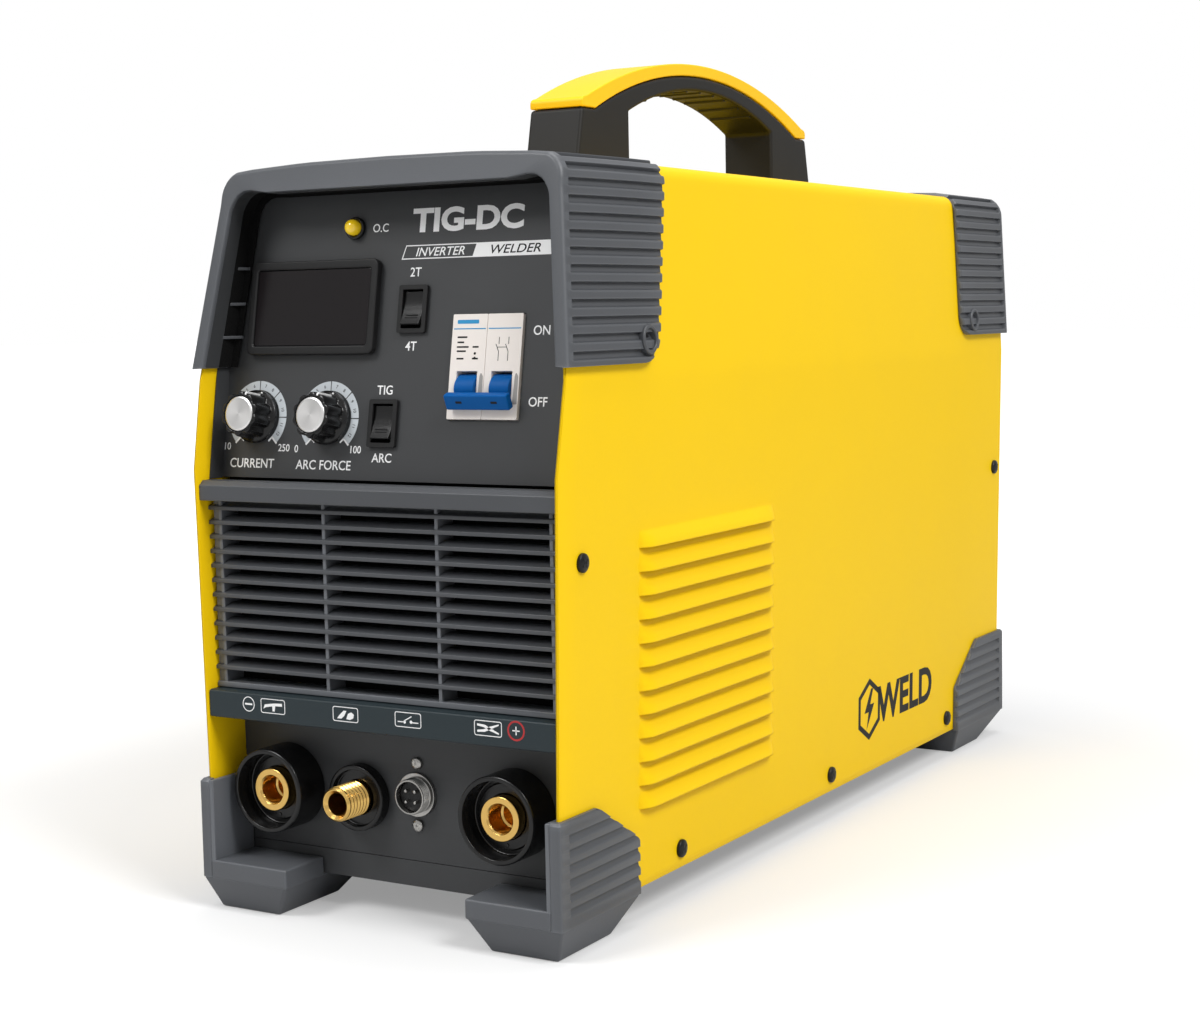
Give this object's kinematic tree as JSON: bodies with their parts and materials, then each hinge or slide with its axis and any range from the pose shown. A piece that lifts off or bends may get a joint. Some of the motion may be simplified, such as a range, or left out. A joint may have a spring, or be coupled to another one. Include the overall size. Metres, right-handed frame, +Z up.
{
  "type": "tig welding machine",
  "caption": "Portable inverter TIG welding machine: louvred steel cover, leaning control panel, weld sockets, carrying handle and corner feet.",
  "frame": {"origin": "on the floor, under the middle of the whole machine's box", "axes": "+X to the machine's right as seen from the front, +Y towards the rear panel, +Z up; the control panel faces -Y"},
  "size_m": [0.2022, 0.55, 0.3968],
  "materials": {
    "yellow_paint": "semi-gloss powder coat",
    "yellow_plastic": "satin moulded",
    "grey_plastic": "satin moulded",
    "panel_grey": "matt, fine texture",
    "strip_blue_grey": "satin",
    "black_plastic": "satin moulded",
    "handle_black": "satin moulded",
    "smoked_window": "dark tinted gloss",
    "amber_lens": "clear gloss",
    "breaker_white": "satin moulded",
    "toggle_blue": "satin moulded",
    "spun_aluminium": "turned",
    "brass": "turned",
    "nickel": "nickel plate",
    "zinc_steel": "zinc plate",
    "black_steel": "blackened",
    "copper": "enamelled winding wire",
    "board_green": "solder mask",
    "ferrite": "ferrite and varnished winding",
    "capacitor_sleeve": "shrink sleeve"
  },
  "bodies": {
    "chassis": {"arc_starter_coil": "copper", "base_pan": "zinc_steel", "breaker_body": "breaker_white", "connector_panel": "panel_grey", "control_board": "board_green", "control_panel": "panel_grey", "control_socket_insert": "black_plastic", "control_socket_screw_lower": "nickel", "control_socket_screw_upper": "nickel", "control_socket_shell": "nickel", "cover_shell": "yellow_paint", "current_potentiometer": "nickel", "display_frame": "black_plastic", "display_window": "smoked_window", "earth_bolt": "zinc_steel", "fan_frame": "black_plastic", "fan_guard": "black_steel", "force_potentiometer": "nickel", "front_bezel": "grey_plastic", "front_bezel_screw_left": "black_steel", "front_bezel_screw_right": "black_steel", "front_grille": "grey_plastic", "front_left_foot": "grey_plastic", "front_right_foot": "grey_plastic", "gas_inlet_nipple": "brass", "gas_outlet_flange": "black_plastic", "gas_outlet_nipple": "brass", "gas_valve_body": "brass", "handle_cap": "yellow_plastic", "handle_frame": "handle_black", "indicator_holder": "black_plastic", "indicator_lens": "amber_lens", "input_capacitor_front": "capacitor_sleeve", "input_capacitor_rear": "capacitor_sleeve", "inverter_board": "board_green", "left_heat_sink": "spun_aluminium", "main_transformer": "ferrite", "mode_switch_frame": "black_plastic", "negative_socket_brass": "brass", "negative_socket_insulator": "black_plastic", "output_inductor": "copper", "positive_socket_brass": "brass", "positive_socket_insulator": "black_plastic", "power_cord_gland": "black_plastic", "process_switch_frame": "black_plastic", "rear_bumper": "grey_plastic", "rear_left_foot": "grey_plastic", "rear_panel": "panel_grey", "rear_right_foot": "grey_plastic", "right_heat_sink": "spun_aluminium", "symbol_strip": "strip_blue_grey"},
    "current_knob": {"current_knob": "black_plastic", "current_knob_cap": "spun_aluminium"},
    "force_knob": {"force_knob": "black_plastic", "force_knob_cap": "spun_aluminium"},
    "mode_rocker": {"mode_rocker": "black_plastic"},
    "process_rocker": {"process_rocker": "black_plastic"},
    "breaker_toggle": {"breaker_toggle": "toggle_blue"},
    "fan_rotor": {"fan_rotor": "black_plastic"},
    "valve_plunger": {"gas_valve_plunger": "zinc_steel"}
  },
  "joints": [
    {"name": "current_knob_turn", "type": "hinge", "parent": "chassis", "child": "current_knob", "pos_m": [-0.0757, -0.24979, 0.22299], "axis": [0, 0.9851, -0.1719], "range_deg": [-155, 115]},
    {"name": "force_knob_turn", "type": "hinge", "parent": "chassis", "child": "force_knob", "pos_m": [-0.0353, -0.24982, 0.22279], "axis": [0, 0.9851, -0.1719], "range_deg": [-155, 115]},
    {"name": "mode_rocker_tilt", "type": "hinge", "parent": "chassis", "child": "mode_rocker", "pos_m": [0.0067, -0.24042, 0.26968], "axis": [1, 0, 0], "range_deg": [0, 22]},
    {"name": "process_rocker_tilt", "type": "hinge", "parent": "chassis", "child": "process_rocker", "pos_m": [-0.0049, -0.249, 0.22052], "axis": [1, 0, 0], "range_deg": [0, 22]},
    {"name": "breaker_toggle_throw", "type": "hinge", "parent": "chassis", "child": "breaker_toggle", "pos_m": [0.0465, -0.24414, 0.235], "axis": [-1, 0, 0], "range_deg": [0, 66]},
    {"name": "fan_spin", "type": "hinge", "parent": "chassis", "child": "fan_rotor", "pos_m": [0.025, 0.227, 0.15], "axis": [0, 1, 0], "continuous": true},
    {"name": "valve_plunger_lift", "type": "slide", "parent": "chassis", "child": "valve_plunger", "axis": [0, 0, 1], "range_m": [0, 0.0015], "stiffness_N_per_m": 200, "springref_m": -0.004}
  ]
}
